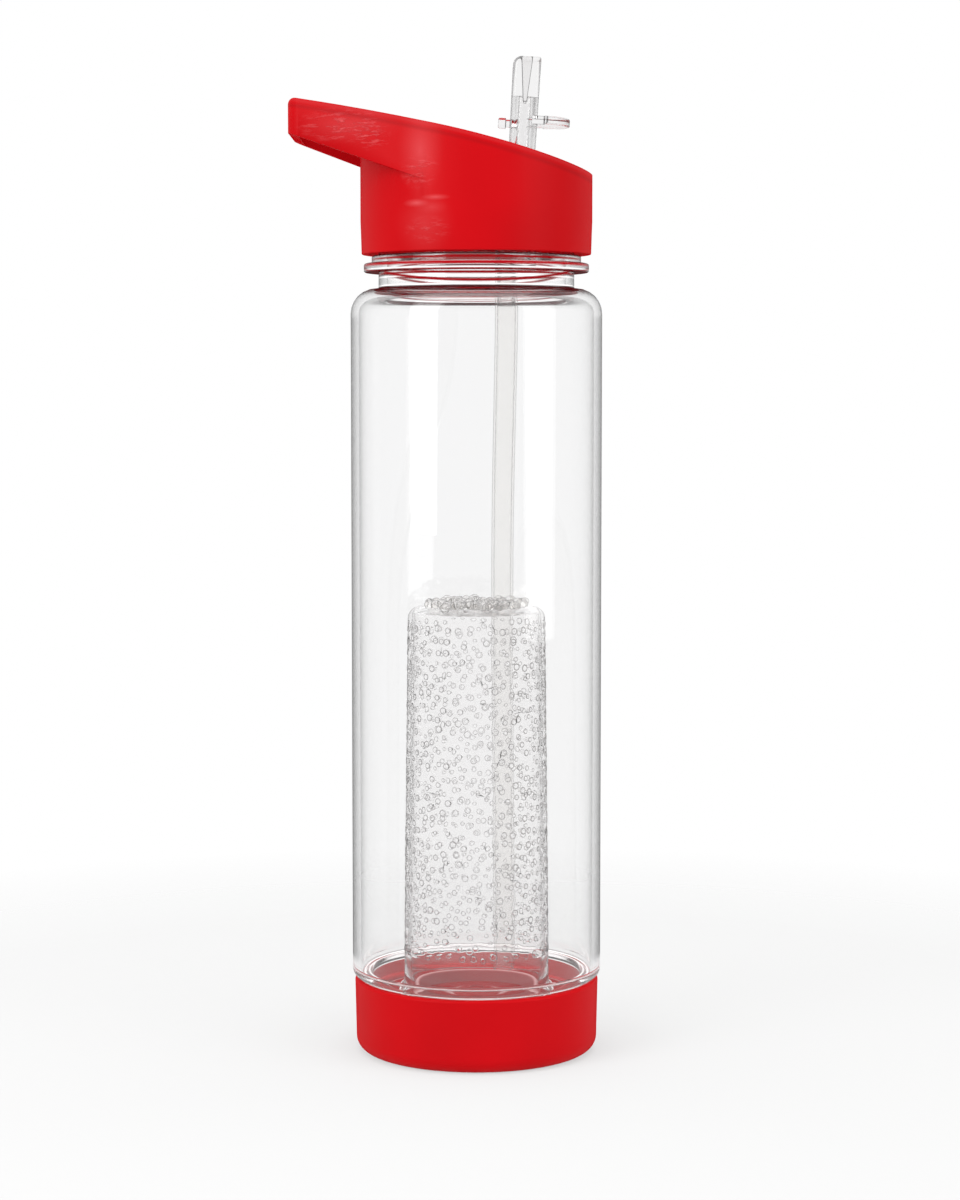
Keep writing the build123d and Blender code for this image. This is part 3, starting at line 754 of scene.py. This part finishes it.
beads = {
    "count": 84, "size": (1.0, 1.75), "sunk": (0.0, 0.9), "rowsUp": 8, "stepsRound": 16, "top": 128.1,
    "margin": 0.9, "inOut": 0.3, "round": 0.06,
}
beadLook = {
    "tint": (0.99, 0.985, 0.98), "edge": (0.02, 0.015, 0.015), "edgePower": 3.0, "edgeShare": 0.95,
    "ior": 1.12, "outside": True,
}


# half-sunk beads that crowd the top of the basket
def makeBeads(draw):
    verts, faces = [], []
    golden = math.pi * (3 - math.sqrt(5))
    for index in range(beads["count"]):
        share = (index + 0.5) / beads["count"]
        reach = (infuser["mound"] - beads["margin"]) * math.sqrt(share)
        reach += draw.uniform(-beads["inOut"], beads["inOut"])
        angle = index * golden + draw.uniform(-beads["round"], beads["round"])
        size = draw.uniform(*beads["size"])
        height = beads["top"] - size - draw.uniform(*beads["sunk"])
        middle = Vector((reach * math.cos(angle), reach * math.sin(angle), height))
        start = len(verts)
        for up in range(1, beads["rowsUp"]):
            tilt = math.pi * up / beads["rowsUp"]
            for step in range(beads["stepsRound"]):
                turn = 2 * math.pi * step / beads["stepsRound"]
                spoke = (math.sin(tilt) * math.cos(turn), math.sin(tilt) * math.sin(turn), math.cos(tilt))
                verts.append(tuple(middle + size * Vector(spoke)))
        poles = (len(verts), len(verts) + 1)
        verts.append(tuple(middle + Vector((0, 0, size))))
        verts.append(tuple(middle - Vector((0, 0, size))))
        steps = beads["stepsRound"]
        last = start + (beads["rowsUp"] - 2) * steps
        for step in range(steps):
            following = (step + 1) % steps
            faces.append((poles[0], start + step, start + following))
            faces.append((poles[1], last + following, last + step))
            for up in range(beads["rowsUp"] - 2):
                row = start + up * steps
                faces.append((row + step, row + steps + step, row + steps + following, row + following))
    piece = meshObject("infuserBeads", verts, faces, clearPlastic("beadClear", beadLook), 180)
    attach(piece, "infuser")


makeInfuser()
print("infuser made")


straw = {
    "outer": 3.2, "inner": 2.5, "segments": 64, "bendShare": 0.45, "bendSteps": 24,
    "points": ((8.4, 0, 218.9), (8.4, 0, 203.9), (7.4, 24.2, 140), (8.4, 24.2, 17)),
}
strawLook = {
    "tint": (0.985, 0.98, 0.972), "edge": (0.10, 0.10, 0.10), "edgePower": 5.0, "edgeShare": 0.85,
    "milk": 0.06, "ior": 1.04, "upright": 1.0,
}


def makeStraw():
    points = [Vector(p) for p in straw["points"]]
    path = [points[0]]
    for before, corner, after in zip(points, points[1:], points[2:]):
        inward = (before - corner).normalized()
        onward = (after - corner).normalized()
        reach = straw["bendShare"] * min((before - corner).length, (after - corner).length)
        for step in range(straw["bendSteps"] + 1):
            share = step / straw["bendSteps"]
            start, end = corner + inward * reach, corner + onward * reach
            path.append((1 - share) ** 2 * start + 2 * share * (1 - share) * corner + share ** 2 * end)
    path.append(points[-1])
    verts, faces, rings = [], [], []
    segments = straw["segments"]
    for radius in (straw["outer"], straw["inner"]):
        for index, place in enumerate(path):
            along = (path[min(index + 1, len(path) - 1)] - path[max(index - 1, 0)]).normalized()
            side = along.cross(Vector((1, 0, 0))).normalized()
            across = along.cross(side)
            ring = []
            for step in range(segments):
                turn = 2 * math.pi * step / segments
                ring.append(len(verts))
                verts.append(tuple(place + radius * (math.cos(turn) * side + math.sin(turn) * across)))
            rings.append(ring)
    count = len(path)
    order = list(range(count)) + list(range(2 * count - 1, count - 1, -1))
    for one, two in zip(order, order[1:] + order[:1]):
        for step in range(segments):
            following = (step + 1) % segments
            faces.append((rings[one][step], rings[one][following], rings[two][following], rings[two][step]))
    piece = meshObject("drinkingStraw", verts, faces, clearPlastic("strawMilky", strawLook))
    weld(piece)
    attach(piece, "lid")
    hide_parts("straw")


makeStraw()
print("straw made")


# the lid's crown is an arc through its loop end, its middle and its front, in millimetres
lid = {
    "loopEnd": (-51.3, 265.5), "middle": (-10.0, 257.0), "front": (32.2, 245.4),
    "endRound": 2.3, "endCuts": (0.04, 0.15, 0.32, 0.55, 0.78, 1.0), "onCrown": 0.1,
    "flatWithin": 0.4, "soften": 0.7, "softSteps": 3, "softenOver": 30,
}
lidWearAndSheen = {
    # each patch: its middle and its reach in metres, and its weight
    "scuffs": (
        ((-0.036, -0.021, 0.2575), (0.014, 0.014, 0.005), 1.3),
        ((-0.028, -0.022, 0.2540), (0.006, 0.012, 0.004), 1.3),
        ((-0.015, -0.0285, 0.2445), (0.006, 0.012, 0.005), 0.9),
        ((-0.013, -0.0290, 0.2290), (0.007, 0.012, 0.004), 0.9),
    ),
    # painted highlights on the lid
    "sheens": (
        ((-0.034, -0.020, 0.2575), (0.017, 0.020, 0.006), 0.35),
        ((-0.0150, -0.0285, 0.2500), (0.0065, 0.020, 0.014), 0.5),
        ((-0.0160, -0.0280, 0.2362), (0.0040, 0.020, 0.0013), 0.9),
        ((-0.0110, -0.0303, 0.2376), (0.0045, 0.020, 0.0010), 0.8),
        ((-0.0120, -0.0300, 0.2350), (0.0050, 0.020, 0.0022), 0.3),
        ((-0.0140, -0.0290, 0.2310), (0.0090, 0.020, 0.0100), 0.25),
    ),
    # a painted highlight along the crown's rim
    "rim": {"depth": 0.0006, "reach": 0.0007, "share": 0.16},
    # painted shade below the rounding of the crown's edge
    "crownEdgeShade": {"depth": 0.0021, "reach": 0.0009, "share": 0.32},
}


# middle and radius of the crown's arc
def crownCircle():
    a, b, c = (Vector(lid[key]) for key in ("loopEnd", "middle", "front"))
    d = 2 * (a.x * (b.y - c.y) + b.x * (c.y - a.y) + c.x * (a.y - b.y))
    squares = (a.length_squared, b.length_squared, c.length_squared)
    x = (squares[0] * (b.y - c.y) + squares[1] * (c.y - a.y) + squares[2] * (a.y - b.y)) / d
    y = (squares[0] * (c.x - b.x) + squares[1] * (a.x - c.x) + squares[2] * (b.x - a.x)) / d
    return x, y, (a - Vector((x, y))).length


# how far under the lid's curved top a point lies, in metres
def underCrown(paint):
    x, z, radius = crownCircle()
    flat = paint.stretched((1, 0, 1))
    away = paint.add("ShaderNodeVectorMath", {"operation": "SUBTRACT"}, {0: flat, 1: (x * mm, 0, z * mm)})
    return radius * mm - paint.length(away)


# rounds the far top end of the carrying loop, as the front view shows it
def roundLoopEnd(work):
    x, z, radius = crownCircle()
    end, reach = lid["loopEnd"][0], lid["endRound"]
    for share in lid["endCuts"]:
        cut = Vector(((end + reach * share) * mm, 0, 0))
        everything = work.verts[:] + work.edges[:] + work.faces[:]
        bmesh.ops.bisect_plane(work, geom=everything, dist=1e-7, plane_co=cut, plane_no=(1, 0, 0))
    for vert in work.verts:
        across = vert.co.x / mm - end
        if across > reach:
            continue
        top = z + math.sqrt(radius ** 2 - (vert.co.x / mm - x) ** 2)
        if abs(vert.co.z / mm - top) < lid["onCrown"]:
            inward = reach - max(across, 0)
            vert.co.z -= (reach - math.sqrt(max(reach ** 2 - inward ** 2, 0))) * mm


# the frame's lid with its edges softened as a moulding's are
def makeLid():
    mesh = nodes["lid_shell"].data.copy()
    mesh.name = "redLidShell"
    mesh.materials.clear()
    mesh.materials.append(redPlastic("redLid", wearAndSheen=lidWearAndSheen))
    work = bmesh.new()
    work.from_mesh(mesh)
    bmesh.ops.remove_doubles(work, verts=work.verts, dist=weldReach)
    flat = math.radians(lid["flatWithin"])
    bmesh.ops.dissolve_limit(work, angle_limit=flat, verts=work.verts, edges=work.edges)
    roundLoopEnd(work)
    for face in work.faces:
        face.material_index = 0
        face.smooth = True
    work.to_mesh(mesh)
    work.free()
    piece = bpy.data.objects.new("redLidShell", mesh)
    scene.collection.objects.link(piece)
    bevel = piece.modifiers.new("softEdges", "BEVEL")
    bevel.width = lid["soften"] * mm
    bevel.segments = lid["softSteps"]
    bevel.limit_method = "ANGLE"
    bevel.angle_limit = math.radians(lid["softenOver"])
    bevel.harden_normals = True
    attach(piece, "lid")
    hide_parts("lid_shell")


makeLid()
print("lid made")


# the pieces that stay as the frame has them
base = {
    # painted glow on the well's wall, with painted shade and painted glints in the well
    "glow": 0.45,
    "well": {
        "radius": 0.0325, "floor": 0.004, "wall": 0.0292, "steepness": 2000.0, "shade": 0.5, "glint": 0.9,
        "rings": ((0.0083, 0.0022), (0.0172, 0.0010), (0.0285, 0.0010)),
    },
}
# a faint painted glow over the whole liner
liner = {"glow": 0.12}
spoutLook = {
    "tint": (0.90, 0.895, 0.895), "edge": (0.06, 0.055, 0.055), "edgePower": 2.5, "edgeShare": 0.85,
    "ior": 1.3, "upright": 1.0, "outline": {"radius": 0.00035, "contrast": 4.0, "share": 0.75},
}
siliconeLook = {
    "tint": (0.9, 0.9, 0.89), "edge": (0.4, 0.4, 0.4), "edgePower": 3.0, "edgeShare": 0.5, "milk": 0.6,
    "roughness": 0.3, "ior": 1.4,
}


def dress(material, *names):
    for name in names:
        mesh = nodes[name].data
        mesh.materials.clear()
        mesh.materials.append(material)


dress(redPlastic("redBase", **base), "base_cup")
dress(redPlastic("redLiner", **liner), "lid_liner")
dress(clearPlastic("spoutClear", spoutLook), "spout", "straw_nozzle")
dress(clearPlastic("siliconeSoft", siliconeLook), "lid_gasket", "base_gasket", "spout_seal", "vent_grommet")
print("frame pieces dressed")


# the floor fades into the white surround, so that only the soft shadow is left of it
studio = {
    "floor": (0.88, 0.88, 0.88, 1), "floorReach": 0.34, "fadeFrom": 0.06, "haze": 0.5,
    "lighting": 0.62, "mirrored": 0.85, "aim": (0, 0, 0.15),
    "lamps": (
        ("leftSoftbox", (-0.75, -0.65, 0.55), (0.5, 0.9), 4.2),
        ("rightSoftbox", (0.87, -0.5, 0.45), (0.6, 0.9), 2.3),
        ("topSoftbox", (0.0, -0.1, 1.1), (0.9, 0.9), 3.5),
    ),
}


def floorPaint():
    paint = Paint(bpy.data.materials.new("floorWhite"))
    white = paint.add("ShaderNodeBsdfDiffuse", None, {"Color": studio["floor"]})
    clear = paint.add("ShaderNodeBsdfTransparent", None, {"Color": (1, 1, 1, 1)})
    out = paint.length(paint.place())
    fade = (out - studio["fadeFrom"]) / (studio["floorReach"] - studio["fadeFrom"])
    return paint.finish(paint.mix(fade.atLeast(studio["haze"]).atMost(1), white, clear))


def makeFloor():
    reach = studio["floorReach"] / mm
    corners = [(-reach, -reach, 0), (reach, -reach, 0), (reach, reach, 0), (-reach, reach, 0)]
    meshObject("paleFloor", corners, [(0, 1, 2, 3)], floorPaint())


# white where the camera or clear plastic looks at it, and dimmer as a light
def makeSurround():
    world = bpy.data.worlds.new("whiteSurround")
    scene.world = world
    sky = Paint(world, "ShaderNodeOutputWorld")

    def glow(strength):
        return sky.add("ShaderNodeBackground", None, {"Color": (1, 1, 1, 1), "Strength": strength})

    shine = sky.mix(sky.ray("Is Glossy Ray"), glow(studio["lighting"]), glow(studio["mirrored"]))
    seen = sky.ray("Is Camera Ray").atLeast(sky.ray("Is Transmission Ray"))
    sky.finish(sky.mix(seen, shine, glow(1.0)))


def makeLamps():
    for name, place, size, power in studio["lamps"]:
        data = bpy.data.lights.new(name, "AREA")
        data.shape = "RECTANGLE"
        data.size, data.size_y = size
        data.energy = power
        lamp = bpy.data.objects.new(name, data)
        lamp.location = place
        aim = Vector(studio["aim"]) - Vector(place)
        lamp.rotation_euler = aim.to_track_quat("-Z", "Y").to_euler()
        scene.collection.objects.link(lamp)


makeFloor()
makeSurround()
makeLamps()
print("studio lit")
